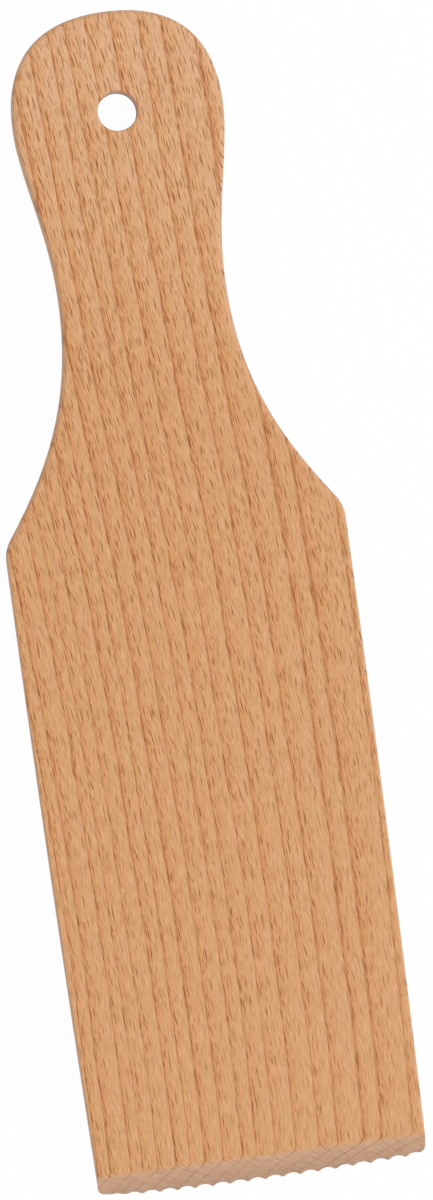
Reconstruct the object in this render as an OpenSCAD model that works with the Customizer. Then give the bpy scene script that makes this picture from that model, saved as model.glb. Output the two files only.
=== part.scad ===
// Gnocchi board: a flat beech board with a round-headed handle. One side is smooth. The other is
// slightly crowned, and its blade has ridges along the grain, over which pieces of dough are rolled.
//
// Lengths are in millimetres. The smooth side faces up, +Z, and the board lies on its ridges at
// z = 0. The handle points along +Y and the blade along -Y. The origin is below the middle of the
// board's bounding box, on the surface that it lies on.

/* [Board] */
// Length of the smooth side, from the top of the handle to the end of the blade
face_length = 218; // [205:1:235]
// Greatest thickness, along the middle of the board
thickness = 8; // [7:0.5:12]
// How far the ridged side runs on past the smooth side at the blade's end
end_rake = 4.3; // [1:0.1:5]
// Radius of the crown across the ridged side
crown_radius = 380; // [200:10:600]

/* [Blade] */
// Width of the blade just below the shoulders
shoulder_width = 64.5; // [60:0.1:70]
// Width of the blade at its end
end_width = 62.2; // [58:0.1:70]
// How far each long edge bows outwards between the shoulder and the end
edge_bow = 0.35; // [0:0.05:1]
// Distance from the top of the handle to the shoulders
shoulder_from_top = 100.5; // [96:0.1:108]
// Radius of the rounded corner at each shoulder
shoulder_radius = 7; // [5:0.5:9]
// Slope of the shoulders, as an angle from the board's length
shoulder_slope = 36; // [30:1:42]

/* [Handle] */
// Greatest width of the round head
head_width = 40; // [37:0.1:44]
// Distance from the top of the handle to the widest place of the head
head_from_top = 19.8; // [18:0.2:22]
// Roundness of the head, where 0.55 is a circle and more is squarer
head_fullness = 0.66; // [0.55:0.01:0.72]
// Least width of the neck
neck_width = 31.7; // [28:0.1:35]
// Distance from the top of the handle to the neck's narrowest place
neck_from_top = 53; // [48:0.5:58]

/* [Hanging hole] */
// Diameter of the hole
hole_diameter = 7.5; // [5:0.5:10]
// Distance from the top of the handle to the middle of the hole
hole_from_top = 19; // [16:0.5:24]
// Chamfer on both rims of the hole
hole_chamfer = 0.3; // [0.1:0.1:0.6]

/* [Ridges] */
// Number of grooves that leave the ridges between them
groove_count = 18; // [12:1:18]
// Distance from one ridge to the next
ridge_pitch = 3.35; // [2.6:0.05:3.35]
// Depth of a groove, below the tops of the ridges
groove_depth = 0.9; // [0.6:0.05:1.3]
// Width of the flat top of a ridge
ridge_top = 0.55; // [0.25:0.05:0.6]
// How far the row of ridges lies off the board's midline
ridge_shift = 0.6; // [0:0.05:0.8]
// Distance from the top of the handle to where the grooves reach their full depth
ridges_from_top = 108; // [104:1:130]
// Radius of the curve on which the grooves rise out of the wood below the shoulders
runout_radius = 40; // [20:5:80]

/* [Softened edges] */
// Radius along the smooth side's edge on the handle and the shoulders
handle_ease = 1; // [0.4:0.1:1.4]
// Radius along the smooth side's edge on the blade
blade_ease = 0.5; // [0.2:0.1:1]
// Radius across the smooth side's end
end_ease = 1.2; // [0.2:0.1:1.5]
// Radius along the edge of the ridged side
back_round = 2.5; // [1.5:0.1:2.8]

/* [Hidden] */

// Fullness of the outline's curves between the head, the neck and the shoulders, each as a share of
// the curve's length along the board
head_to_neck = 0.27;
neck_to_head = 0.4;
neck_to_shoulder = 0.365;
shoulder_to_neck = 0.42;

// Number of steps in each curve of the outline, in the shoulder's corner and along the blade
curve_steps = 14;
corner_steps = 6;
edge_steps = 5;
// Number of steps in the edge's rounding on the smooth side and on the ridged side
ease_steps = 4;
round_steps = 6;
// Number of strips across the crowned side
crown_strips = 10;
// Number of sides of a groove's round channel, and of steps in which it rises
groove_sides = 24;
runout_steps = 8;

// Spare length that every cutter has beyond the wood
spare = 5;

board_length = face_length + end_rake;
top_y = board_length / 2;
end_y = -board_length / 2;
face_end_y = top_y - face_length;
shoulder_y = top_y - shoulder_from_top;
hole_y = top_y - hole_from_top;
ridges_y = top_y - ridges_from_top;

function crown(x) = crown_radius - sqrt(crown_radius * crown_radius - x * x);

// A point on a cubic curve through four control points, and the curve's outward normal there
function curve_point(p, t) =
    pow(1 - t, 3) * p[0] + 3 * t * pow(1 - t, 2) * p[1] + 3 * t * t * (1 - t) * p[2] + pow(t, 3) * p[3];
function curve_slope(p, t) =
    pow(1 - t, 2) * (p[1] - p[0]) + 2 * t * (1 - t) * (p[2] - p[1]) + t * t * (p[3] - p[2]);
function curve_normal(p, t) = let (d = curve_slope(p, t)) [-d[1], d[0]] / norm(d);

// The outline's direction and outward normal where it runs down the board at an angle from its length
function heading(angle) = [sin(angle), -cos(angle)];
function facing(angle) = [cos(angle), sin(angle)];

edge_length = shoulder_y - end_y;
edge_angle = atan(((end_width - shoulder_width) / 2 + 4 * edge_bow) / edge_length);
corner_centre = [shoulder_width / 2, shoulder_y] - shoulder_radius * facing(edge_angle);
corner_start = corner_centre + shoulder_radius * facing(shoulder_slope);
neck_y = top_y - neck_from_top;
head_y = top_y - head_from_top;

head_curve = [
    [0, top_y],
    [head_fullness * head_width / 2, top_y],
    [head_width / 2, head_y + head_fullness * head_from_top],
    [head_width / 2, head_y],
];
neck_curve = [
    [head_width / 2, head_y],
    [head_width / 2, head_y - head_to_neck * (head_y - neck_y)],
    [neck_width / 2, neck_y + neck_to_head * (head_y - neck_y)],
    [neck_width / 2, neck_y],
];
shoulder_curve = [
    [neck_width / 2, neck_y],
    [neck_width / 2, neck_y - neck_to_shoulder * (neck_y - corner_start[1])],
    corner_start - shoulder_to_neck * (neck_y - corner_start[1]) * heading(shoulder_slope),
    corner_start,
];

// The right half of the outline, from the top of the head down to past the blade's end. Each entry
// is a point, the outward normal there and the softening of the smooth side's edge.
function along(p) =
    [for (i = [1:curve_steps]) let (t = i / curve_steps) [curve_point(p, t), curve_normal(p, t), handle_ease]];
half_outline = [
    [head_curve[0], [0, 1], handle_ease],
    each along(head_curve),
    each along(neck_curve),
    each along(shoulder_curve),
    for (i = [1:corner_steps])
        let (t = i / corner_steps, a = shoulder_slope + t * (edge_angle - shoulder_slope))
        [
            corner_centre + shoulder_radius * facing(a),
            facing(a),
            handle_ease + t * (blade_ease - handle_ease),
        ],
    for (i = [1:edge_steps])
        let (
            t = i / edge_steps,
            x = shoulder_width / 2 + t * (end_width - shoulder_width) / 2 + 4 * edge_bow * t * (1 - t)
        )
        [[x, shoulder_y - t * (edge_length + spare)], [1, 0], blade_ease],
];
last = len(half_outline) - 1;
loop_length = 2 * last + 1;

// A point on the edge: its station on the half outline, its side (1 right, -1 left), its distance
// in from the outline, and its height
function inset_xy(i, side, inset) =
    let (p = half_outline[i][0] - inset * half_outline[i][1]) [side * p[0], p[1]];
function loop_station(j) = j <= last ? j : loop_length - j;
function loop_side(j) = j == 0 ? 0 : j <= last ? 1 : -1;

// One closed ring of the edge's rounding on the smooth side, and one on the ridged side. The angle
// runs from 0 on the smooth side to 90 on the edge, and from 0 on the edge to 90 on the ridged side.
function smooth_ring(angle) = [
    for (j = [0:loop_length - 1])
        let (
            i = loop_station(j),
            ease = half_outline[i][2],
            p = inset_xy(i, loop_side(j), ease * (1 - sin(angle)))
        )
        [p[0], p[1], thickness - ease * (1 - cos(angle))],
];
function ridged_ring(angle) = [
    for (j = [0:loop_length - 1])
        let (p = inset_xy(loop_station(j), loop_side(j), back_round * (1 - cos(angle))))
        [p[0], p[1], crown(p[0]) + back_round * (1 - sin(angle))],
];

ring_count = ease_steps + round_steps + 2;
ring_points = [
    for (k = [0:ease_steps]) each smooth_ring(90 * k / ease_steps),
    for (k = [0:round_steps]) each ridged_ring(90 * k / round_steps),
];

// Points across the ridged side, between the left and the right end of each row
row_points = [
    for (i = [1:last])
        let (p = inset_xy(i, 1, back_round))
        for (c = [1:crown_strips - 1])
            let (x = p[0] * (2 * c / crown_strips - 1))
            [x, p[1], crown(x)],
];

function ring_index(k, j) = k * loop_length + j % loop_length;
function row_index(i, c) =
    i == 0 ? ring_index(ring_count - 1, 0)
    : c == 0 ? ring_index(ring_count - 1, loop_length - i)
    : c == crown_strips ? ring_index(ring_count - 1, i)
    : ring_count * loop_length + (i - 1) * (crown_strips - 1) + c - 1;

function left_index(k, i) = ring_index(k, loop_length - i);
smooth_face = [
    for (i = [0:last - 1])
        each concat(
            [[left_index(0, i), ring_index(0, i + 1), left_index(0, i + 1)]],
            i == 0 ? [] : [[left_index(0, i), ring_index(0, i), ring_index(0, i + 1)]]
        ),
];
edge_faces = [
    for (k = [0:ring_count - 2])
        for (j = [0:loop_length - 1])
            if (j != last)
                each [
                    [ring_index(k, j + 1), ring_index(k, j), ring_index(k + 1, j)],
                    [ring_index(k, j + 1), ring_index(k + 1, j), ring_index(k + 1, j + 1)],
                ],
];
ridged_faces = [
    for (i = [0:last - 1])
        for (c = [0:crown_strips - 1])
            each concat(
                [[row_index(i, c), row_index(i + 1, c), row_index(i + 1, c + 1)]],
                i == 0 ? [] : [[row_index(i, c), row_index(i + 1, c + 1), row_index(i, c + 1)]]
            ),
];
end_face = [
    [
        for (k = [0:ring_count - 1]) ring_index(k, last),
        for (c = [crown_strips - 1:-1:1]) row_index(last, c),
        for (k = [ring_count - 1:-1:0]) ring_index(k, last + 1),
    ],
];

// The board before its hole, ridges and raked end are cut
module blank() {
    polyhedron(
        points = concat(ring_points, row_points),
        faces = concat(smooth_face, edge_faces, ridged_faces, end_face)
    );
}

// Everything past the blade's end: a raked face, met by the smooth side over a small rounding
module past_end() {
    rake = atan(end_rake / thickness);
    bend = 90 - rake;
    reach = end_ease * tan(bend / 2);
    rotate([90, 0, 90])
        linear_extrude(height = shoulder_width + 2 * spare, center = true)
            polygon([
                [end_y - 2 * spare, thickness + spare],
                [end_y - 2 * spare, -spare],
                [end_y - spare * tan(rake), -spare],
                for (k = [0:ease_steps])
                    let (a = rake + bend * k / ease_steps)
                    [
                        face_end_y + reach - end_ease * cos(a),
                        thickness - end_ease + end_ease * sin(a),
                    ],
                [face_end_y + reach, thickness + spare],
            ]);
}

module hanging_hole() {
    radius = hole_diameter / 2;
    translate([0, hole_y, -spare])
        cylinder(h = thickness + 2 * spare, r = radius, $fn = 96);
    for (side = [0, 1])
        translate([0, hole_y, side * thickness])
            rotate([180 * side, 0, 0])
                translate([0, 0, -hole_chamfer])
                    cylinder(h = 2 * hole_chamfer, r1 = radius + 2 * hole_chamfer, r2 = radius, $fn = 96);
}

// One groove: a round channel that runs straight from past the blade's end, and then rises out of
// the wood on the path of a round cutter
module groove(x) {
    half_width = (ridge_pitch - ridge_top) / 2;
    radius = (half_width * half_width + groove_depth * groove_depth) / (2 * groove_depth);
    bottom = crown(x) + groove_depth;
    rise = acos(1 - 2 * groove_depth / runout_radius);
    pivot = [ridges_y, bottom - runout_radius];
    // Each ring of the channel has a place along the board and the angle to which it has risen
    rings = [
        [end_y - spare, 0],
        for (k = [0:runout_steps]) [ridges_y, rise * k / runout_steps],
    ];
    points = [
        for (ring = rings)
            for (j = [0:groove_sides - 1])
                let (
                    turn = 360 * j / groove_sides,
                    reach = runout_radius - radius + radius * cos(turn)
                )
                [x + radius * sin(turn), ring[0] + reach * sin(ring[1]), pivot[1] + reach * cos(ring[1])],
    ];
    walls = [
        for (k = [0:len(rings) - 2])
            for (j = [0:groove_sides - 1])
                let (
                    a = k * groove_sides + j,
                    b = k * groove_sides + (j + 1) % groove_sides,
                    c = a + groove_sides,
                    d = b + groove_sides
                )
                each [[a, d, b], [a, c, d]],
    ];
    near_end = [for (j = [0:groove_sides - 1]) j];
    far_end = [for (j = [groove_sides - 1:-1:0]) (len(rings) - 1) * groove_sides + j];
    polyhedron(points = points, faces = concat(walls, [far_end, near_end]));
}

// The board before its hole is drilled, brought to its exact length
module ridged_blank() {
    resize([0, board_length, 0])
        difference() {
            blank();
            past_end();
            for (k = [0:groove_count - 1])
                groove(ridge_shift + (k - (groove_count - 1) / 2) * ridge_pitch);
        }
}

module board() {
    color("burlywood")
        difference() {
            ridged_blank();
            hanging_hole();
        }
}

board();
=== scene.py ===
import math

import bmesh
import bpy
from mathutils import Matrix, Vector


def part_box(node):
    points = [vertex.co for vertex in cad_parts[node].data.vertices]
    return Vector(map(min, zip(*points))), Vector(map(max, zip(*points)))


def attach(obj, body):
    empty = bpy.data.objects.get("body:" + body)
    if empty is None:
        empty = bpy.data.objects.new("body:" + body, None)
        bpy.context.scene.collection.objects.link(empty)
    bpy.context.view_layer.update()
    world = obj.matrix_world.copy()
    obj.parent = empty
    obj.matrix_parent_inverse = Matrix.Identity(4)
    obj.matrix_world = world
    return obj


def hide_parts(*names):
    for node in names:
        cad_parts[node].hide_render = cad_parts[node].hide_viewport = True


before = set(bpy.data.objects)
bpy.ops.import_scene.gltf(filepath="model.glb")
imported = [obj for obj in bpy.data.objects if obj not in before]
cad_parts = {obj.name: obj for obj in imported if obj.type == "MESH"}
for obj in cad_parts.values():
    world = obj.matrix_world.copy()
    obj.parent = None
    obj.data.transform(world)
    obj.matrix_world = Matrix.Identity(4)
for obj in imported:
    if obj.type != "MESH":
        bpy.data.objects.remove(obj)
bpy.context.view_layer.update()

bl_info = {
    "name": "Gnocchi Board",
    "version": (1, 0, 0),
    "blender": (4, 5, 0),
    "location": "View3D > Sidebar > Gnocchi Board",
    "description": "Finishes a beech gnocchi board and sets it in a plain studio",
    "category": "Object",
}

MM = 0.001
BOARD_LOW, BOARD_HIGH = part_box("board")

# Fullness of the outline's curves between the head, the neck and the shoulders, each as a share of
# the curve's length along the board
HEAD_TO_NECK = 0.27
NECK_TO_HEAD = 0.4
NECK_TO_SHOULDER = 0.38
SHOULDER_TO_NECK = 0.42

# How finely the board's mesh is made
COLUMNS_A_RIDGE = 14
BACK_STEPS = 12
EASE_STEPS = 10
EASE_DEPTH = 1.2 * MM
# Flat wood inside the rounded edge, so that the smooth side shades flat
FLAT_MARGIN = 0.8 * MM
# Where the wear of the blade's left edge starts across the board, and over what length it sets in
LEFT_WEAR_FROM = 17 * MM
LEFT_WEAR_LENGTH = 50 * MM
# Size of the worn edge where the ridges end
END_WEAR = 0.22 * MM
# Where the columns of the underside start to line up with the ridges, and over what length
RIDGE_ROWS_FROM = 20 * MM
RIDGE_ROWS_BLEND = 7 * MM

# Share of the floor that the eye sees as even white: the rest takes the board's shadow
GLOW_SHARE = 0.97

# How the grain lies in the board, as slopes, and the length over which it bends at the blade's end
GRAIN_LEAN = 0.105
BEND_LENGTH = 125.0
GRAIN_DIP = 0.04
# How fast the growth rings crowd together away from the pith
RING_POWER = 1.5
# Across one ring, from its pale start to its dark edge: share of its width, and darkness there
LATE_WOOD = ((0.0, 0.0), (0.3, 0.12), (0.55, 0.45), (0.8, 0.9), (0.9, 1.0), (0.95, 0.9), (1.0, 0.0))
RING_EDGE = ((0.0, 0.0), (0.84, 0.0), (0.93, 1.0), (1.0, 0.0))
END_GRAIN_EDGE = ((0.0, 0.0), (0.9, 0.0), (0.94, 1.0), (1.0, 0.0))
# Rays, from the longest to the finest. In millimetres: the room that one ray has across the board, along
# the grain and out from the pith, the length and width of a fleck, and how dark a fleck may be
RAYS = (
    ((1.4, 4.8, 60.0), 3.8, 0.21, 1.55),
    ((0.9, 3.6, 40.0), 2.9, 0.17, 1.2),
    ((0.5, 2.7, 25.0), 2.1, 0.12, 0.8),
)


def linear(colour):
    """Turns an sRGB hex colour such as C8966B into linear red, green, blue and alpha."""
    parts = [int(colour[i:i + 2], 16) / 255 for i in (0, 2, 4)]
    return [p / 12.92 if p <= 0.04045 else ((p + 0.055) / 1.055) ** 2.4 for p in parts] + [1.0]


def add_node(tree, kind, inputs=(), **settings):
    """Adds a node with its settings. Each input takes a value, a socket or a node's first output."""
    node = tree.nodes.new(kind)
    for name, value in settings.items():
        setattr(node, name, value)
    for socket, value in inputs.items() if isinstance(inputs, dict) else enumerate(inputs):
        if isinstance(value, bpy.types.Node):
            value = value.outputs[0]
        if isinstance(value, bpy.types.NodeSocket):
            tree.links.new(value, node.inputs[socket])
        else:
            node.inputs[socket].default_value = value
    return node


class BoardProperties(bpy.types.PropertyGroup):
    """Sizes of the board, beside those of its box."""

    end_rake: bpy.props.FloatProperty(
        name="End rake", description="How far the ridged side runs on past the smooth side at the end",
        default=4.5 * MM, unit="LENGTH")
    crown_radius: bpy.props.FloatProperty(
        name="Crown radius", description="Radius of the crown across the ridged side",
        default=380 * MM, unit="LENGTH")
    shoulder_width: bpy.props.FloatProperty(
        name="Shoulder width", description="Width of the blade just below the shoulders",
        default=64.5 * MM, unit="LENGTH")
    end_width: bpy.props.FloatProperty(
        name="End width", description="Width of the blade at its end", default=62.2 * MM, unit="LENGTH")
    edge_bow: bpy.props.FloatProperty(
        name="Edge bow", description="How far each long edge bows outwards", default=0.33 * MM, unit="LENGTH")
    shoulder_from_top: bpy.props.FloatProperty(
        name="Shoulders from the top", description="Distance from the top of the handle to the shoulders",
        default=100.5 * MM, unit="LENGTH")
    shoulder_radius: bpy.props.FloatProperty(
        name="Shoulder radius", description="Radius of the rounded corner at each shoulder",
        default=7 * MM, unit="LENGTH")
    shoulder_slope: bpy.props.FloatProperty(
        name="Shoulder slope", description="Slope of the shoulders from the board's length",
        default=math.radians(36), unit="ROTATION")
    head_width: bpy.props.FloatProperty(
        name="Head width", description="Greatest width of the round head", default=40 * MM, unit="LENGTH")
    head_from_top: bpy.props.FloatProperty(
        name="Head from the top", description="Distance from the top of the handle to the head's widest place",
        default=19.8 * MM, unit="LENGTH")
    head_fullness: bpy.props.FloatProperty(
        name="Head fullness", description="0.55 is a circle and more is squarer", default=0.66)
    neck_width: bpy.props.FloatProperty(
        name="Neck width", description="Least width of the neck", default=31.7 * MM, unit="LENGTH")
    neck_from_top: bpy.props.FloatProperty(
        name="Neck from the top", description="Distance from the top of the handle to the narrowest place",
        default=53 * MM, unit="LENGTH")
    hole_radius: bpy.props.FloatProperty(
        name="Hole radius", description="Radius of the hanging hole", default=3.75 * MM, unit="LENGTH")
    hole_from_top: bpy.props.FloatProperty(
        name="Hole from the top", description="Distance from the top of the handle to the hole's middle",
        default=19 * MM, unit="LENGTH")
    hole_rim: bpy.props.FloatProperty(
        name="Hole rim", description="Radius of the softened rims of the hole", default=0.35 * MM, unit="LENGTH")
    groove_count: bpy.props.IntProperty(
        name="Grooves", description="Number of grooves that leave the ridges between them", default=18)
    ridge_pitch: bpy.props.FloatProperty(
        name="Ridge pitch", description="Distance from one ridge to the next",
        default=3.35 * MM, unit="LENGTH")
    groove_depth: bpy.props.FloatProperty(
        name="Groove depth", description="Depth of a groove below the tops of the ridges",
        default=0.9 * MM, unit="LENGTH")
    ridge_top: bpy.props.FloatProperty(
        name="Ridge top", description="Width of the top of a ridge", default=0.55 * MM, unit="LENGTH")
    ridge_wear: bpy.props.FloatProperty(
        name="Ridge wear", description="How far the ridges' edges are worn round",
        default=0.16 * MM, unit="LENGTH")
    ridge_shift: bpy.props.FloatProperty(
        name="Ridge shift", description="How far the row of ridges lies off the board's midline",
        default=0.6 * MM, unit="LENGTH")
    ridges_from_top: bpy.props.FloatProperty(
        name="Ridges from the top", description="Distance from the top of the handle to the full-depth grooves",
        default=108 * MM, unit="LENGTH")
    runout_radius: bpy.props.FloatProperty(
        name="Run-out radius", description="Radius on which the grooves rise out of the wood",
        default=40 * MM, unit="LENGTH")
    handle_ease: bpy.props.FloatProperty(
        name="Handle edge", description="Radius along the smooth side's edge on the handle",
        default=1 * MM, unit="LENGTH")
    blade_ease: bpy.props.FloatProperty(
        name="Blade edge", description="Radius along the smooth side's edge on the blade",
        default=0.5 * MM, unit="LENGTH")
    end_ease: bpy.props.FloatProperty(
        name="End edge", description="Radius across the smooth side's end", default=1.6 * MM, unit="LENGTH")
    back_round: bpy.props.FloatProperty(
        name="Back edge", description="Radius along the edge of the ridged side",
        default=2.5 * MM, unit="LENGTH")
    left_round: bpy.props.FloatProperty(
        name="Left back edge", description="Radius of the ridged side's left edge at the blade's end",
        default=1.2 * MM, unit="LENGTH")
    left_wear: bpy.props.FloatProperty(
        name="Left wear", description="How much the ridges at the left edge are worn down at the blade's end",
        default=1.1 * MM, unit="LENGTH")


class BeechProperties(bpy.types.PropertyGroup):
    """Colours and sizes of the beech."""

    early_wood: bpy.props.StringProperty(
        name="Early wood", description="sRGB hex colour of the pale part of a growth ring", default="E2B17A")
    early_wood_pink: bpy.props.StringProperty(
        name="Pinker early wood", description="sRGB hex colour where the pale part is pinker", default="E9AE83")
    # Painted sheen: the colour that the ground turns to at the top of the head, standing in for the stronger light
    # there
    head_painted_sheen: bpy.props.StringProperty(
        name="Head painted sheen", description="sRGB hex colour of the pale part at the top of the head", default="EEBE97")
    late_wood: bpy.props.StringProperty(
        name="Late wood", description="sRGB hex tint that the late wood lays over the early wood",
        default="F9E6C6")
    ring_edge: bpy.props.StringProperty(
        name="Ring edge", description="sRGB hex tint of the dark line at a ring's edge", default="C99B5A")
    fibre: bpy.props.StringProperty(
        name="Fibre", description="sRGB hex tint of the fibres between the flecks", default="E7DABF")
    ray_fleck: bpy.props.StringProperty(
        name="Ray fleck", description="sRGB hex tint of a full dark ray fleck", default="B48C0A")
    end_grain: bpy.props.StringProperty(
        name="End grain", description="sRGB hex colour of the sawn and sanded end grain", default="DBAB86")
    end_line: bpy.props.StringProperty(
        name="End grain line", description="sRGB hex tint of ring and ray lines on the end grain", default="CBBBB0")
    pith_right: bpy.props.FloatProperty(
        name="Pith to the right", description="How far right of the board the heart of the tree lay",
        default=76 * MM, unit="LENGTH")
    pith_below: bpy.props.FloatProperty(
        name="Pith below", description="How far below the board the heart of the tree lay",
        default=68 * MM, unit="LENGTH")
    ring_width: bpy.props.FloatProperty(
        name="Ring width", description="Width of a growth ring at the middle of the blade",
        default=2.5 * MM, unit="LENGTH")
    roughness: bpy.props.FloatProperty(
        name="Roughness", description="Roughness of sanded bare beech", default=0.55, subtype="FACTOR")


class StudioProperties(bpy.types.PropertyGroup):
    """The camera, the lamps and the floor."""

    camera_distance: bpy.props.FloatProperty(
        name="Camera distance", description="Distance from the camera to the board",
        default=3.6, unit="LENGTH")
    tilt_to_blade: bpy.props.FloatProperty(
        name="Tilt towards the blade", description="How far the camera leans from overhead to the blade's end",
        default=math.radians(2.2), unit="ROTATION")
    tilt_to_left: bpy.props.FloatProperty(
        name="Tilt to the left", description="How far the camera leans from overhead to the left",
        default=math.radians(2.5), unit="ROTATION")
    roll: bpy.props.FloatProperty(
        name="Roll", description="Turn of the picture about the line of sight",
        default=math.radians(7.827), unit="ROTATION")
    aim_right: bpy.props.FloatProperty(
        name="Aim right", description="Place across the board at the middle of the picture",
        default=5.935 * MM, unit="LENGTH")
    aim_up: bpy.props.FloatProperty(
        name="Aim along", description="Place along the board at the middle of the picture",
        default=-1.842 * MM, unit="LENGTH")
    picture_height: bpy.props.FloatProperty(
        name="Picture height", description="Height of what the picture shows at the board's smooth side",
        default=226.12 * MM, unit="LENGTH")
    sky: bpy.props.FloatProperty(
        name="Sky", description="Strength of the even light from all round", default=0.42)
    key: bpy.props.FloatProperty(
        name="Key lamp", description="Power of the large soft lamp on the right", default=41, unit="POWER")
    fill: bpy.props.FloatProperty(
        name="Fill lamp", description="Power of the soft lamp past the blade's end", default=16, unit="POWER")
    paper: bpy.props.StringProperty(
        name="Floor", description="sRGB hex colour of the floor", default="F4F4F2")


def grain_frame(tree, beech):
    """Where a point of the wood lies in the tree: in millimetres across, along and up the grain, out from
    the pith, and across again at the place where the ray through the point meets the smooth side."""
    place = add_node(tree, "ShaderNodeTexCoord")
    size = add_node(tree, "ShaderNodeVectorMath", {0: place.outputs["Object"], "Scale": 1 / MM}, operation="SCALE")
    x, y, z = add_node(tree, "ShaderNodeSeparateXYZ", [size]).outputs

    # The grain runs straight at the blade's end, bends over the next 125 mm and leans 6 degrees above
    from_end = add_node(tree, "ShaderNodeMath", [y, -BOARD_LOW.y / MM], operation="ADD")
    bent = add_node(tree, "ShaderNodeMath", [from_end, BEND_LENGTH], operation="MINIMUM")
    straight = add_node(tree, "ShaderNodeMath", [from_end, bent], operation="SUBTRACT")
    bow = add_node(tree, "ShaderNodeMath", [bent, bent], operation="MULTIPLY")
    bow = add_node(tree, "ShaderNodeMath", [bow, GRAIN_LEAN / (2 * BEND_LENGTH), x], operation="MULTIPLY_ADD")
    upright = add_node(tree, "ShaderNodeMath", [straight, GRAIN_LEAN, bow], operation="MULTIPLY_ADD")

    # It also sways by about a millimetre from side to side, over about 30 mm
    slow = add_node(tree, "ShaderNodeVectorMath", [size, (0.04, 0.018, 0.04)], operation="MULTIPLY")
    sway = add_node(tree, "ShaderNodeTexNoise", {"Vector": slow, "Scale": 1.0, "Detail": 2.0})
    across = add_node(tree, "ShaderNodeMath", [sway, 1.6, upright], operation="MULTIPLY_ADD")

    out_x = add_node(tree, "ShaderNodeMath", [across, beech.pith_right / MM], operation="SUBTRACT")
    rise = add_node(tree, "ShaderNodeMath", [y, GRAIN_DIP, z], operation="MULTIPLY_ADD")
    out_z = add_node(tree, "ShaderNodeMath", [rise, beech.pith_below / MM], operation="ADD")
    out = add_node(tree, "ShaderNodeCombineXYZ", [out_x, 0.0, out_z])
    radius = add_node(tree, "ShaderNodeVectorMath", [out], operation="LENGTH").outputs["Value"]
    slant = add_node(tree, "ShaderNodeMath", [out_x, out_z], operation="DIVIDE")
    fan = add_node(tree, "ShaderNodeMath", [slant, (beech.pith_below + BOARD_HIGH.z) / MM], operation="MULTIPLY")
    return across, y, z, radius, fan


def middle_radius(beech):
    """Distance in millimetres from the pith to the middle of the smooth side."""
    return math.hypot(beech.pith_right, beech.pith_below + BOARD_HIGH.z) / MM


def streaks(tree, grain, width, length, detail):
    """Soft streaks along the grain, from 0 to 1, about as wide and as long as given in millimetres."""
    across, along, up = grain
    place = add_node(tree, "ShaderNodeCombineXYZ", [across, along, up])
    scaled = add_node(tree, "ShaderNodeVectorMath", [place, (width, length, width)], operation="DIVIDE")
    return add_node(tree, "ShaderNodeTexNoise", {"Vector": scaled, "Scale": 1.0, "Detail": detail})


def ring_ramp(tree, phase, stops):
    """How dark one ring is across its width."""
    ramp = add_node(tree, "ShaderNodeValToRGB", [phase])
    elements = ramp.color_ramp.elements
    for position, dark in stops:
        element = elements.new(position) if 0 < position < 1 else elements[-1 if position else 0]
        element.color = (dark, dark, dark, 1.0)
    return ramp


def growth_rings(tree, beech, grain, radius):
    """How dark the late wood is, from none just outside a ring's edge to full at the next edge, and how
    dark the fine line is at the edge itself."""
    # The edges are ragged by about 0.5 mm, in streaks 5 mm long
    ragged = streaks(tree, grain, 0.6, 14.0, 3.0)
    rough_radius = add_node(tree, "ShaderNodeMath", [ragged, 0.32, radius], operation="MULTIPLY_ADD")

    # Rings are wider towards the pith, so their count grows with a power of the radius
    middle = middle_radius(beech)
    relative = add_node(tree, "ShaderNodeMath", [rough_radius, middle], operation="DIVIDE")
    raised = add_node(tree, "ShaderNodeMath", [relative, RING_POWER], operation="POWER")
    spacing = add_node(tree, "ShaderNodeTexNoise", {"W": radius, "Scale": 0.2}, noise_dimensions="1D")
    rings_at_middle = middle / (RING_POWER * beech.ring_width / MM)
    count = add_node(tree, "ShaderNodeMath", [raised, rings_at_middle, spacing], operation="MULTIPLY_ADD")
    phase = add_node(tree, "ShaderNodeMath", [count], operation="FRACT")
    ring = add_node(tree, "ShaderNodeMath", [count], operation="FLOOR")

    # Some rings are darker than others, and each comes and goes along its length
    lot = add_node(tree, "ShaderNodeTexWhiteNoise", {"W": ring}, noise_dimensions="1D")
    along = add_node(tree, "ShaderNodeMath", [grain[1], 0.13], operation="MULTIPLY")
    fade_place = add_node(tree, "ShaderNodeCombineXYZ", [ring, along, 0.0])
    fade = add_node(tree, "ShaderNodeTexNoise", {"Vector": fade_place, "Scale": 1.0, "Detail": 3.0})
    strength = add_node(tree, "ShaderNodeMath", [lot, 0.5, -0.35], operation="MULTIPLY_ADD")
    strength = add_node(tree, "ShaderNodeMath", [fade, 1.9, strength], operation="MULTIPLY_ADD", use_clamp=True)
    weaker = add_node(tree, "ShaderNodeMath", [grain[1], 0.0015, 0.85], operation="MULTIPLY_ADD")
    strength = add_node(tree, "ShaderNodeMath", [strength, weaker], operation="MULTIPLY")
    late = add_node(tree, "ShaderNodeMath", [ring_ramp(tree, phase, LATE_WOOD), strength], operation="MULTIPLY")

    # The line at a ring's edge is drawn in dark strokes 4 to 9 mm long
    stroke_place = add_node(tree, "ShaderNodeVectorMath", [fade_place, (1.0, 2.0, 1.0)], operation="MULTIPLY")
    stroke = add_node(tree, "ShaderNodeTexNoise", {"Vector": stroke_place, "Scale": 1.0, "Detail": 2.0})
    stroke = add_node(tree, "ShaderNodeMapRange", {"Value": stroke, "From Min": 0.36, "From Max": 0.62})
    clear = add_node(tree, "ShaderNodeMath", [strength, 0.55, 0.45], operation="MULTIPLY_ADD")
    stroke = add_node(tree, "ShaderNodeMath", [stroke, 0.65, 0.35], operation="MULTIPLY_ADD")
    clear = add_node(tree, "ShaderNodeMath", [clear, stroke], operation="MULTIPLY")
    edge = add_node(tree, "ShaderNodeMath", [ring_ramp(tree, phase, RING_EDGE), clear], operation="MULTIPLY")
    return late, edge, phase


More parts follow.
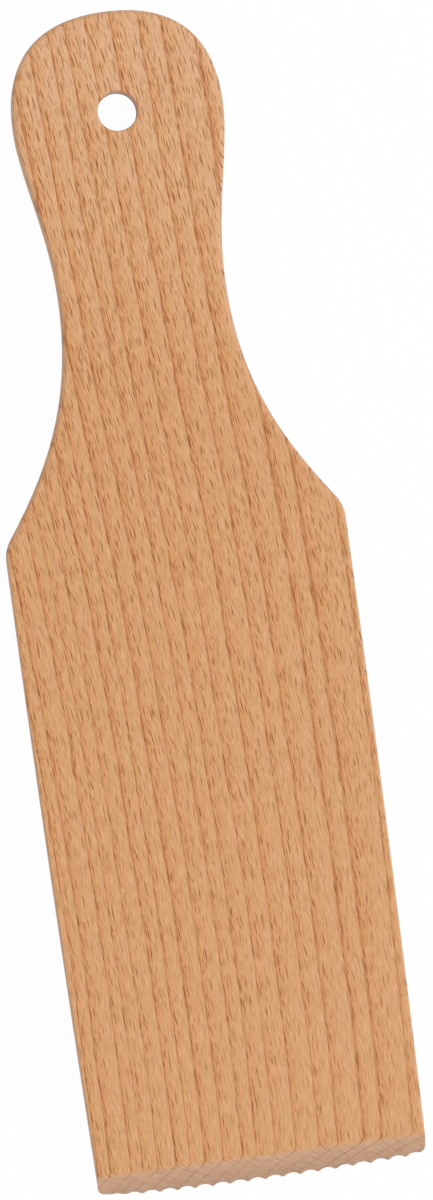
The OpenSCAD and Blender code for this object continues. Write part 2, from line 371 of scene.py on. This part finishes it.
def ray_flecks(tree, size, along, fan, radius):
    """Rays are thin sheets that point at the pith. Where a face cuts across them they show as lenses,
    one to each room of the wood. Returns how dark they are, and how much of a ray is there."""
    room, length, width, darkest = size
    place = add_node(tree, "ShaderNodeCombineXYZ", [fan, along, radius])
    scaled = add_node(tree, "ShaderNodeVectorMath", [place, room], operation="DIVIDE")
    rooms = add_node(tree, "ShaderNodeTexVoronoi", {"Vector": scaled, "Scale": 1.0})
    away = add_node(tree, "ShaderNodeVectorMath", [scaled, rooms.outputs["Position"]], operation="SUBTRACT")
    away = add_node(tree, "ShaderNodeVectorMath", [away, room], operation="MULTIPLY")
    side, ahead, _ = add_node(tree, "ShaderNodeSeparateXYZ", [away]).outputs
    lots = add_node(tree, "ShaderNodeSeparateColor", [rooms.outputs["Color"]]).outputs

    # Each fleck leans up to 1 degree its own way
    lean = add_node(tree, "ShaderNodeMath", [lots[2], 0.036, -0.018], operation="MULTIPLY_ADD")
    side = add_node(tree, "ShaderNodeMath", [ahead, lean, side], operation="MULTIPLY_ADD")
    side = add_node(tree, "ShaderNodeMath", [side], operation="ABSOLUTE")
    half_width = add_node(tree, "ShaderNodeMath", [lots[0], 0.25 * width, 0.3 * width], operation="MULTIPLY_ADD")
    half_length = add_node(tree, "ShaderNodeMath", [lots[1], 0.2 * length, 0.3 * length],
                           operation="MULTIPLY_ADD")
    sideways = add_node(tree, "ShaderNodeMath", [side, half_width], operation="DIVIDE")
    onwards = add_node(tree, "ShaderNodeMath", [ahead, half_length], operation="DIVIDE")
    lens = add_node(tree, "ShaderNodeMath", [onwards, onwards, sideways], operation="MULTIPLY_ADD")
    ray = add_node(tree, "ShaderNodeMapRange", {"Value": lens, "From Min": 1.0, "From Max": 0.75},
                   interpolation_type="SMOOTHSTEP")
    dark = add_node(tree, "ShaderNodeMath", [lots[0], 0.95 * darkest, 0.15 * darkest], operation="MULTIPLY_ADD")
    return add_node(tree, "ShaderNodeMath", [ray, dark], operation="MULTIPLY"), ray


def stain(tree, amount, ground, tint):
    """Lays a tint over a colour, as much as the amount says."""
    mix = add_node(tree, "ShaderNodeMix", {0: amount, 6: ground, 7: linear(tint)},
                   data_type="RGBA", blend_type="MULTIPLY")
    return mix.outputs[2]


def face_grain(tree, beech, grain, late, edge, fleck):
    """The smooth side: a pale ground in two tones, paler at the head by a painted sheen, its late wood, its
    fibres and its flecks."""
    patches = streaks(tree, grain, 0.8, 12.0, 2.0)
    pink = add_node(tree, "ShaderNodeMapRange", {"Value": patches, "From Min": 0.25, "From Max": 0.75})
    ground = add_node(tree, "ShaderNodeMix", {0: pink, 6: linear(beech.early_wood),
                      7: linear(beech.early_wood_pink)}, data_type="RGBA")
    # Painted sheen: the ground turns paler and pinker towards the head, for the stronger light there
    head = add_node(tree, "ShaderNodeMapRange", {"Value": grain[1], "From Min": 40.0, "From Max": 110.0})
    ground = add_node(tree, "ShaderNodeMix", {0: head, 6: ground.outputs[2], 7: linear(beech.head_painted_sheen)},
                      data_type="RGBA")
    colour = stain(tree, late, ground.outputs[2], beech.late_wood)
    colour = stain(tree, edge, colour, beech.ring_edge)

    # Fibres and pores: streaks 0.2 mm wide, drawn coarser than the real ones so that they show
    fibre = streaks(tree, grain, 0.2, 2.8, 1.0)
    dark_fibre = add_node(tree, "ShaderNodeMapRange", {"Value": fibre, "From Min": 0.7, "From Max": 0.3})
    colour = stain(tree, dark_fibre, colour, beech.fibre)
    return stain(tree, fleck, colour, beech.ray_fleck), fibre


def end_grain(tree, beech, grain, phase, rays):
    """The end of the blade: rings and rays meet as two sets of fine lines, on mottled wood with painted
    shade that darkens it towards the ridges."""
    mottle = streaks(tree, grain, 1.1, 1.1, 3.0)
    # Painted shade: the end grain darkens from the smooth side down towards the ridges
    up = add_node(tree, "ShaderNodeMath", [grain[2], 0.034, 0.66], operation="MULTIPLY_ADD")
    shade = add_node(tree, "ShaderNodeMath", [mottle, 0.24, up], operation="MULTIPLY_ADD")
    colour = add_node(tree, "ShaderNodeVectorMath", {0: linear(beech.end_grain)[:3], "Scale": shade},
                      operation="SCALE")
    colour = stain(tree, ring_ramp(tree, phase, END_GRAIN_EDGE), colour, beech.end_line)
    return stain(tree, rays, colour, beech.end_line)


def beech_material(beech):
    """European beech, planed and sanded and left bare: a pale tan ground that darkens to a fine line
    at the edge of each growth ring, crossed by short dark ray flecks along the grain. On the end
    grain the same rings and rays meet as two sets of fine lines."""
    material = bpy.data.materials.new("beech, sanded")
    material.use_nodes = True
    tree = material.node_tree
    tree.nodes.clear()
    across, along, up, radius, fan = grain_frame(tree, beech)
    grain = (across, along, up)
    late, edge, phase = growth_rings(tree, beech, grain, radius)

    # Flecks are fainter towards the blade's end, and darker where they cross late wood
    layers = [ray_flecks(tree, size, along, fan, radius) for size in RAYS]
    fleck = add_node(tree, "ShaderNodeMath", [layers[0][0], layers[1][0]], operation="MAXIMUM")
    fleck = add_node(tree, "ShaderNodeMath", [fleck, layers[2][0]], operation="MAXIMUM")
    weight = add_node(tree, "ShaderNodeMath", [along, 0.003, 0.56], operation="MULTIPLY_ADD")
    weight = add_node(tree, "ShaderNodeMath", [late, 1.35, weight], operation="MULTIPLY_ADD")
    fleck = add_node(tree, "ShaderNodeMath", [fleck, weight], operation="MULTIPLY", use_clamp=True)
    face, fibre = face_grain(tree, beech, grain, late, edge, fleck)

    # End grain, with its painted shade, where the surface faces along the board
    rays = add_node(tree, "ShaderNodeMath", [layers[0][1], layers[1][1]], operation="MAXIMUM")
    end = end_grain(tree, beech, grain, phase, rays)
    facing = add_node(tree, "ShaderNodeSeparateXYZ", [add_node(tree, "ShaderNodeTexCoord").outputs["Normal"]])
    end_on = add_node(tree, "ShaderNodeMath", [facing.outputs[1]], operation="ABSOLUTE")
    end_share = add_node(tree, "ShaderNodeMapRange", {"Value": end_on, "From Min": 0.3, "From Max": 0.86},
                         interpolation_type="SMOOTHSTEP")
    # The long edges were cut along the grain, so they show only a little of it and of its painted shade
    side_on = add_node(tree, "ShaderNodeMath", [facing.outputs[0]], operation="ABSOLUTE")
    side_share = add_node(tree, "ShaderNodeMapRange", {"Value": side_on, "From Min": 0.1, "To Max": 0.9})
    end_share = add_node(tree, "ShaderNodeMath", [end_share, side_share], operation="MAXIMUM")
    colour = add_node(tree, "ShaderNodeMix", {0: end_share, 6: face, 7: end}, data_type="RGBA")

    # Flecks are shallow hollows between raised fibres
    height = add_node(tree, "ShaderNodeMath", [fibre, fleck], operation="SUBTRACT")
    bump = add_node(tree, "ShaderNodeBump", {"Height": height, "Strength": 0.2, "Distance": 0.04 * MM})
    surface = add_node(tree, "ShaderNodeBsdfPrincipled", {
        "Base Color": colour.outputs[2], "Roughness": beech.roughness, "IOR": 1.5, "Normal": bump,
        "Sheen Weight": 0.25, "Sheen Roughness": 0.3})
    add_node(tree, "ShaderNodeOutputMaterial", [surface])
    return material


def cubic(points, share):
    """A point on a cubic curve through four control points, and the outward normal there."""
    a, b, c, d = points
    rest = 1 - share
    point = rest ** 3 * a + 3 * share * rest ** 2 * b + 3 * share ** 2 * rest * c + share ** 3 * d
    slope = rest ** 2 * (b - a) + 2 * share * rest * (c - b) + share ** 2 * (d - c)
    return point, Vector((-slope.y, slope.x)).normalized()


def blade_half_width(board, y):
    """Half the blade's width at a place along it, with the slight bow of its long edges."""
    start = BOARD_HIGH.y - board.shoulder_from_top
    share = (start - y) / (start - BOARD_LOW.y)
    taper = (board.end_width - board.shoulder_width) / 2
    return board.shoulder_width / 2 + share * taper + 4 * board.edge_bow * share * (1 - share)


def half_outline(board):
    """The right half of the outline from the top of the head down, without the blade's end. Each
    station is a point, the outward normal there and the softening of the smooth side's edge."""
    top = BOARD_HIGH.y
    head_y = top - board.head_from_top
    neck_y = top - board.neck_from_top
    shoulder_y = top - board.shoulder_from_top
    head_x, neck_x = board.head_width / 2, board.neck_width / 2
    fullness, fall = board.head_fullness, head_y - neck_y
    taper = (board.end_width - board.shoulder_width) / 2 + 4 * board.edge_bow
    edge_angle = math.atan2(taper, shoulder_y - BOARD_LOW.y)

    def facing(angle):
        return Vector((math.cos(angle), math.sin(angle)))

    centre = Vector((board.shoulder_width / 2, shoulder_y)) - board.shoulder_radius * facing(edge_angle)
    corner = centre + board.shoulder_radius * facing(board.shoulder_slope)
    down = Vector((math.sin(board.shoulder_slope), -math.cos(board.shoulder_slope)))
    drop = neck_y - corner.y
    head = (Vector((0, top)), Vector((fullness * head_x, top)),
            Vector((head_x, head_y + fullness * board.head_from_top)), Vector((head_x, head_y)))
    neck = (head[3], Vector((head_x, head_y - HEAD_TO_NECK * fall)),
            Vector((neck_x, neck_y + NECK_TO_HEAD * fall)), Vector((neck_x, neck_y)))
    shoulder = (neck[3], Vector((neck_x, neck_y - NECK_TO_SHOULDER * drop)),
                corner - SHOULDER_TO_NECK * drop * down, corner)

    stations = [(head[0], Vector((0, 1)), board.handle_ease)]
    for curve, steps in ((head, 26), (neck, 14), (shoulder, 16)):
        for i in range(1, steps + 1):
            point, normal = cubic(curve, i / steps)
            stations.append((point, normal, board.handle_ease))
    corner_steps = 10
    for i in range(1, corner_steps + 1):
        share = i / corner_steps
        angle = board.shoulder_slope + share * (edge_angle - board.shoulder_slope)
        ease = board.handle_ease + share * (board.blade_ease - board.handle_ease)
        stations.append((centre + board.shoulder_radius * facing(angle), facing(angle), ease))
    # Rows lie close together where the grooves rise, and far apart where they run straight
    ridges_y = top - board.ridges_from_top
    rows = [shoulder_y + (ridges_y - shoulder_y) * i / 14 for i in range(1, 15)]
    rows += [ridges_y + (BOARD_LOW.y + 8 * MM - ridges_y) * i / 20 for i in range(1, 21)]
    for y in rows:
        stations.append((Vector((blade_half_width(board, y), y)), Vector((1, 0)), board.blade_ease))
    return stations


def rounding(radius, depth):
    """How far a rounded edge lies in from its side, at a depth below the face that it rounds off."""
    left = max(radius - depth, 0.0)
    return radius - math.sqrt(radius * radius - left * left)


def end_place(board, z):
    """Place along the board of the raked end at height z, with the rounding below the smooth side."""
    rake = math.atan2(board.end_rake, BOARD_HIGH.z)
    bend = math.pi / 2 - rake
    depth = BOARD_HIGH.z - z
    face_end = BOARD_LOW.y + board.end_rake
    if depth >= board.end_ease * (1 - math.cos(bend)):
        return face_end - depth * math.tan(rake)
    left = board.end_ease - depth
    return face_end + board.end_ease * math.tan(bend / 2) - math.sqrt(board.end_ease ** 2 - left ** 2)


def crown(board, x):
    """Height of the crowned underside above its lowest line."""
    return board.crown_radius - math.sqrt(board.crown_radius ** 2 - x * x)


def left_share(board, x, y):
    """How much a place is on the left of the blade, from none at the shoulders to all near the end."""
    start = BOARD_HIGH.y - board.shoulder_from_top
    return min(max((start - y) / LEFT_WEAR_LENGTH, 0.0), 1.0) if x < 0 else 0.0


def back_radius(board, x, y):
    """Radius of the ridged side's edge, which is crisper on the left of the blade."""
    return board.back_round + left_share(board, x, y) * (board.left_round - board.back_round)


def underside(board, x, y, inset):
    """Height of the underside: the crown, its rounded edge and the grooves, with worn edges."""
    out = max(-x - LEFT_WEAR_FROM, 0.0) / (board.end_width / 2 - LEFT_WEAR_FROM)
    wood = crown(board, x) + rounding(back_radius(board, x, y), inset)
    wood += left_share(board, x, y) * board.left_wear * out * out
    half = (board.ridge_pitch - board.ridge_top) / 2
    radius = (half * half + board.groove_depth ** 2) / (2 * board.groove_depth)
    last = (board.groove_count - 1) / 2
    number = min(max(round((x - board.ridge_shift) / board.ridge_pitch + last), 0), board.groove_count - 1)
    middle = board.ridge_shift + (number - last) * board.ridge_pitch
    off = min(abs(x - middle), radius)
    reach = board.runout_radius - radius + math.sqrt(radius * radius - off * off)
    past = max(y - (BOARD_HIGH.y - board.ridges_from_top), 0.0)
    pivot = crown(board, middle) + board.groove_depth - board.runout_radius
    roof = pivot + math.sqrt(max(reach * reach - past * past, 0.0))
    gap = roof - wood
    return wood + (gap + math.hypot(gap, board.ridge_wear)) / 2


def board_columns(board):
    """Places of the underside's columns across the blade, inside its rounded edges: fixed to the ridges."""
    reach = (board.shoulder_width / 2 + board.edge_bow) - board.back_round
    step = board.ridge_pitch / COLUMNS_A_RIDGE
    first = math.ceil((-reach - board.ridge_shift) / step + 0.3)
    final = math.floor((reach - board.ridge_shift) / step - 0.3)
    return [-reach] + [board.ridge_shift + i * step for i in range(first, final + 1)] + [reach]


def add_face(faces, corners):
    """Adds a face, leaving out corners that fall together."""
    kept = [c for i, c in enumerate(corners) if c != corners[i - 1]]
    if len(set(kept)) > 2:
        faces.append(kept)


def board_mesh(board):
    """The whole board but for its hole. Closed rings run round it from the smooth side down to where the
    underside's rounded edge starts. Rows of columns make the underside, and join the lowest ring."""
    points, faces = [], []

    def add(x, y, z):
        points.append((x, y, z))
        return len(points) - 1

    stations = half_outline(board)
    columns = board_columns(board)
    reach = columns[-1]
    insets = [board.back_round * (1 - math.cos(math.pi / 2 * i / BACK_STEPS)) for i in range(BACK_STEPS + 1)]

    # The end row's places across, from the left edge to the right one
    end_half = blade_half_width(board, BOARD_LOW.y)

    def row_places(half, share):
        """Inner columns between the rounded edges: fixed on the blade (share 1), drawn in on the handle."""
        power = 1 + 7 * share
        shift = half - board.back_round - reach
        return [x + shift * math.copysign(abs(x / reach) ** power, x) for x in columns]

    end_row = [-(end_half - inset) for inset in insets[:-1]] + row_places(end_half, 1)
    end_row += [end_half - inset for inset in reversed(insets[:-1])]

    def ring(depth, margin=0.0, wall_foot=False):
        """One closed ring: the pole on the head, down the right side, across the end and back up."""
        height = BOARD_HIGH.z - depth
        sides = ([], [])
        for point, normal, ease in stations:
            spot = point - normal * (rounding(ease, depth) + margin)
            for side, x in zip(sides, (spot.x, -spot.x)):
                side.append((x, spot.y, underside(board, x, spot.y, 0.0) if wall_foot else height))
        across = []
        for x in reversed(end_row):
            z = height
            if wall_foot:
                left, right = (underside(board, side * end_half, BOARD_LOW.y, 0.0) for side in (-1, 1))
                z = (left + right + (right - left) * x / end_half) / 2
            y = end_place(board, z) + margin
            half = blade_half_width(board, y) - rounding(board.blade_ease, depth) - margin
            across.append((x / end_half * half, y, z))
        loop = sides[0] + across + sides[1][:0:-1]
        return [add(*spot) for spot in loop]

    depths = [EASE_DEPTH * (i / EASE_STEPS) ** 2 for i in range(EASE_STEPS + 1)]
    rings = [ring(0.0, margin=FLAT_MARGIN)] + [ring(depth) for depth in depths]
    rings.append(ring(BOARD_HIGH.z, wall_foot=True))
    for upper, lower in zip(rings, rings[1:]):
        for i in range(len(upper)):
            faces.append([upper[i - 1], upper[i], lower[i], lower[i - 1]])

    # The flat of the smooth side, in strips from edge to edge
    flat = rings[0]
    total, last = len(flat), len(stations) - 1
    for i in range(last):
        add_face(faces, [flat[i], flat[i + 1], flat[total - i - 1], flat[(total - i) % total]])
    faces.append(flat[last:total - last + 1])

    # The underside, row by row
    foot = rings[-1]
    rows = []
    for i, (point, normal, ease) in enumerate(stations):
        if i == 0:
            pole = [foot[0]]
            for inset in insets[1:]:
                pole.append(add(0.0, point.y - inset, underside(board, 0.0, point.y, inset)))
            rows.append(pole + [pole[-1]] * (len(columns) - 2) + pole[::-1])
            continue
        share = min(max((RIDGE_ROWS_FROM - point.y) / RIDGE_ROWS_BLEND, 0.0), 1.0)
        inner_x = point.x - normal.x * board.back_round
        inner_y = point.y - normal.y * board.back_round
        spots = [(point - normal * inset, inset) for inset in insets[1:-1]]
        left = [add(-spot.x, spot.y, underside(board, -spot.x, spot.y, inset)) for spot, inset in spots]
        right = [add(spot.x, spot.y, underside(board, spot.x, spot.y, inset)) for spot, inset in spots]
        middle = [add(x, inner_y, underside(board, x, inner_y, board.back_round))
                  for x in row_places(inner_x + board.back_round, share)]
        rows.append([foot[total - i]] + left + middle + right[::-1] + [foot[i]])

    # The end row, turned up into the end over a small worn edge
    edge = foot[last + 1:total - last]
    reaches = insets + [board.back_round] * (len(columns) - 2) + insets[::-1]
    for turn in (0.0, 0.5, 1.0):
        row = [edge[-1]]
        for x, inset in list(zip(end_row, reaches))[1:-1]:
            z = underside(board, x, BOARD_LOW.y, inset)
            worn = END_WEAR * (1 - turn) ** 2
            height = z + END_WEAR * turn ** 2
            row.append(add(x, end_place(board, height) + worn, height))
        rows.append(row + [edge[0]])
    rows.append(edge[::-1])
    for upper, lower in zip(rows, rows[1:]):
        for i in range(len(upper) - 1):
            add_face(faces, [upper[i], upper[i + 1], lower[i + 1], lower[i]])

    mesh = bpy.data.meshes.new("beech board")
    mesh.from_pydata(points, [], faces)
    return mesh


def hole_cutter(board):
    """A spool that cuts the hanging hole and rounds both its rims."""
    radius, rim, steps = board.hole_radius, board.hole_rim, 6
    profile = []
    for i in range(steps + 1):
        turn = math.radians(80) * i / steps
        profile.append((radius + rim * (1 - math.cos(turn)), rim * (1 - math.sin(turn))))
    flare = (profile[-1][0] + 1.2 * MM, profile[-1][1] - 0.21 * MM)
    profile.append(flare)
    height = BOARD_HIGH.z
    outline = [(r, depth) for r, depth in reversed(profile)] + [(r, height - depth) for r, depth in profile]
    centre = Vector((0, BOARD_HIGH.y - board.hole_from_top))
    sides = 96
    points = []
    for r, z in outline:
        for i in range(sides):
            turn = 2 * math.pi * i / sides
            points.append((centre.x + r * math.cos(turn), centre.y + r * math.sin(turn), z))
    faces = [list(range(sides))[::-1], list(range(len(points) - sides, len(points)))]
    for k in range(len(outline) - 1):
        for i in range(sides):
            a, b = k * sides + i, k * sides + (i + 1) % sides
            faces.append([a, b, b + sides, a + sides])
    mesh = bpy.data.meshes.new("hole cutter")
    mesh.from_pydata(points, [], faces)
    return bpy.data.objects.new("hole cutter", mesh)


def add_board(scene, board):
    """Makes the board, drills it and smooths its shading, but not across its edges."""
    piece = bpy.data.objects.new("beech_board", board_mesh(board))
    scene.collection.objects.link(piece)
    shell = bmesh.new()
    shell.from_mesh(piece.data)
    bmesh.ops.recalc_face_normals(shell, faces=shell.faces)
    shell.to_mesh(piece.data)
    shell.free()
    cutter = hole_cutter(board)
    scene.collection.objects.link(cutter)
    drill = piece.modifiers.new("drill", "BOOLEAN")
    drill.object = cutter
    drill.operation = "DIFFERENCE"
    drill.solver = "EXACT"
    graph = bpy.context.evaluated_depsgraph_get()
    drilled = bpy.data.meshes.new_from_object(piece.evaluated_get(graph))
    piece.modifiers.clear()
    piece.data = drilled
    bpy.data.objects.remove(cutter)
    drilled.shade_smooth()
    drilled.set_sharp_from_angle(angle=math.radians(42))
    # The flat meets the hole's rim at a crisp edge, so that it shades flat up to there
    middle = Vector((0, BOARD_HIGH.y - board.hole_from_top))
    near = board.hole_radius + 2 * board.hole_rim
    for edge in drilled.edges:
        ends = [drilled.vertices[v].co for v in edge.vertices]
        flat = all(abs(co.z - BOARD_HIGH.z) < 0.001 * MM and (co.xy - middle).length < near for co in ends)
        if flat:
            edge.use_edge_sharp = True
    return piece


class GNOCCHIBOARD_OT_make_board(bpy.types.Operator):
    """Makes the board of sanded beech"""

    bl_idname = "gnocchi_board.make_board"
    bl_label = "Make the board"

    def execute(self, context):
        piece = add_board(context.scene, context.scene.gnocchi_sizes)
        piece.data.materials.clear()
        piece.data.materials.append(beech_material(context.scene.gnocchi_beech))
        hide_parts("board")
        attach(piece, "root")
        return {"FINISHED"}


class GNOCCHIBOARD_OT_set_stage(bpy.types.Operator):
    """Adds the camera, the lamps, the world and the floor"""

    bl_idname = "gnocchi_board.set_stage"
    bl_label = "Set the stage"

    def execute(self, context):
        studio = context.scene.gnocchi_studio
        add_camera(context.scene, studio)
        add_lights(context.scene, studio)
        add_floor(context.scene, studio)
        context.scene.view_settings.view_transform = "Standard"
        return {"FINISHED"}


def add_camera(scene, studio):
    """The camera leans a few degrees from overhead, and its picture is turned about the line of sight."""
    data = bpy.data.cameras.new("camera")
    data.type = "PERSP"
    data.sensor_fit = "VERTICAL"
    data.sensor_height = data.sensor_width
    data.lens = data.sensor_height * studio.camera_distance / studio.picture_height
    data.clip_end = 2 * studio.camera_distance
    camera = bpy.data.objects.new("camera", data)
    scene.collection.objects.link(camera)
    back = Vector((-math.tan(studio.tilt_to_left), -math.tan(studio.tilt_to_blade), 1.0)).normalized()
    up = (Vector((0, 1, 0)) - back * back.y).normalized()
    right = up.cross(back)
    turn = Matrix.Rotation(-studio.roll, 3, back)
    up, right = turn @ up, turn @ right
    aim = Vector((studio.aim_right, studio.aim_up, BOARD_HIGH.z))
    rotation = Matrix((right, up, back)).transposed().to_4x4()
    camera.matrix_world = Matrix.Translation(aim + studio.camera_distance * back) @ rotation
    scene.camera = camera


def seen_by_eye(tree):
    """How far a ray is one that shows the background: straight to the camera, mirrored or through glass."""
    ray = add_node(tree, "ShaderNodeLightPath")
    direct = add_node(tree, "ShaderNodeMath", [ray.outputs["Is Camera Ray"], ray.outputs["Is Glossy Ray"]],
                      operation="MAXIMUM")
    return add_node(tree, "ShaderNodeMath", [direct, ray.outputs["Is Transmission Ray"]], operation="MAXIMUM")


def add_lamp(scene, name, power, direction):
    """A soft round lamp of 1.8 m, 3 m away from the board, that shines on its middle."""
    data = bpy.data.lights.new(name, "AREA")
    data.shape = "DISK"
    data.size = 1.8
    data.energy = power
    lamp = bpy.data.objects.new(name, data)
    away = Vector(direction).normalized()
    lamp.matrix_world = Matrix.Translation(3.0 * away) @ away.to_track_quat("Z", "Y").to_matrix().to_4x4()
    scene.collection.objects.link(lamp)


def add_lights(scene, studio):
    """An even sky, a large soft lamp above the right and a weaker one past the blade's end."""
    world = bpy.data.worlds.new("studio")
    world.use_nodes = True
    tree = world.node_tree
    tree.nodes.clear()
    strength = add_node(tree, "ShaderNodeMapRange", {"Value": seen_by_eye(tree), "To Min": studio.sky})
    light = add_node(tree, "ShaderNodeBackground", {"Color": (1, 1, 1, 1), "Strength": strength})
    add_node(tree, "ShaderNodeOutputWorld", [light])
    scene.world = world
    add_lamp(scene, "key lamp", studio.key, (0.5, 0.1, 0.86))
    add_lamp(scene, "fill lamp", studio.fill, (0.1, -0.6, 0.8))


def add_floor(scene, studio):
    """A plain pale floor that reads as white and keeps the board's shadow."""
    size = 3.0
    data = bpy.data.meshes.new("floor")
    corners = [(-size, -size, 0), (size, -size, 0), (size, size, 0), (-size, size, 0)]
    data.from_pydata(corners, [], [(0, 1, 2, 3)])
    floor = bpy.data.objects.new("floor", data)
    floor.location.z = BOARD_LOW.z
    scene.collection.objects.link(floor)
    material = bpy.data.materials.new("white paper, matt")
    material.use_nodes = True
    tree = material.node_tree
    tree.nodes.clear()
    paper = add_node(tree, "ShaderNodeBsdfDiffuse", {"Color": linear(studio.paper)})
    glow = add_node(tree, "ShaderNodeEmission", {"Color": (1, 1, 1, 1), "Strength": 1.0})
    share = add_node(tree, "ShaderNodeMath", [seen_by_eye(tree), GLOW_SHARE], operation="MULTIPLY")
    mix = add_node(tree, "ShaderNodeMixShader", [share, paper, glow])
    add_node(tree, "ShaderNodeOutputMaterial", [mix])
    data.materials.append(material)


class GNOCCHIBOARD_PT_panel(bpy.types.Panel):
    """Lists the board's looks and the operators that make them"""

    bl_idname = "GNOCCHIBOARD_PT_panel"
    bl_label = "Gnocchi Board"
    bl_space_type = "VIEW_3D"
    bl_region_type = "UI"
    bl_category = "Gnocchi Board"

    def draw(self, context):
        for group in (context.scene.gnocchi_sizes, context.scene.gnocchi_beech, context.scene.gnocchi_studio):
            column = self.layout.column()
            for name in group.bl_rna.properties.keys():
                if name not in ("rna_type", "name"):
                    column.prop(group, name)
        for operator in (GNOCCHIBOARD_OT_make_board, GNOCCHIBOARD_OT_set_stage):
            self.layout.operator(operator.bl_idname)


CLASSES = (
    BoardProperties,
    BeechProperties,
    StudioProperties,
    GNOCCHIBOARD_OT_make_board,
    GNOCCHIBOARD_OT_set_stage,
    GNOCCHIBOARD_PT_panel,
)


def register():
    for cls in CLASSES:
        bpy.utils.register_class(cls)
    bpy.types.Scene.gnocchi_sizes = bpy.props.PointerProperty(type=BoardProperties)
    bpy.types.Scene.gnocchi_beech = bpy.props.PointerProperty(type=BeechProperties)
    bpy.types.Scene.gnocchi_studio = bpy.props.PointerProperty(type=StudioProperties)


def unregister():
    del bpy.types.Scene.gnocchi_studio
    del bpy.types.Scene.gnocchi_beech
    del bpy.types.Scene.gnocchi_sizes
    for cls in reversed(CLASSES):
        bpy.utils.unregister_class(cls)


def main():
    """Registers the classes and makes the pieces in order."""
    register()
    bpy.ops.gnocchi_board.make_board()
    bpy.ops.gnocchi_board.set_stage()


if __name__ == "__main__":
    main()
